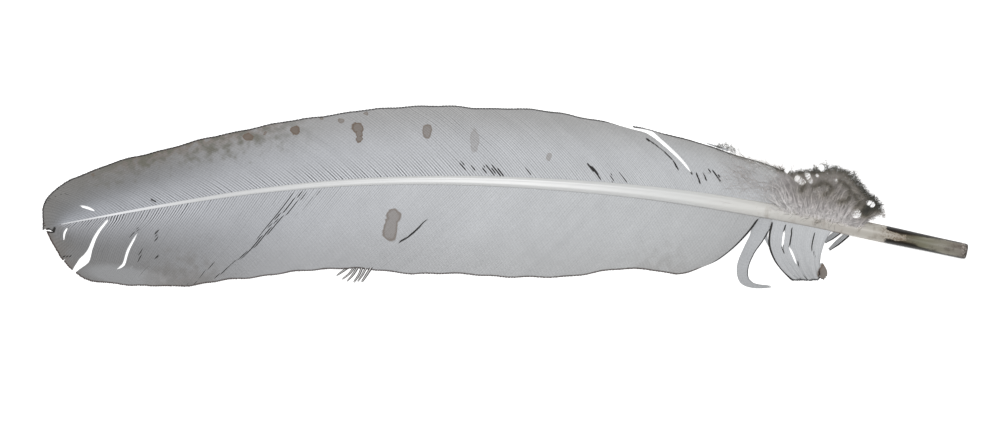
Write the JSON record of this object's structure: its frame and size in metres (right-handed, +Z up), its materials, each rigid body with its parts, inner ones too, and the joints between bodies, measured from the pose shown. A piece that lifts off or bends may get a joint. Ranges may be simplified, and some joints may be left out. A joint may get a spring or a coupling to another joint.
{
  "type": "goose quill feather",
  "caption": "Curved grey flight feather with a pale tapering quill shaft, two barbed vanes, a tuft of down at its foot and loose barbs.",
  "frame": {"origin": "on the surface that the feather lies on, under the middle of its bounding box", "axes": "+X along the feather towards the cut end of the quill, +Y towards the vane that carries the down, +Z up, out of the feather's glossy back"},
  "size_m": [0.321, 0.0636, 0.0125],
  "materials": {
    "barb_keratin": "satin grey vane of fine hooked barbs",
    "shaft_keratin": "smooth ivory horn, stained brown at the cut end",
    "down": "matt grey-brown fluff"
  },
  "bodies": {
    "root": {"feather": "barb_keratin"}
  },
  "joints": []
}
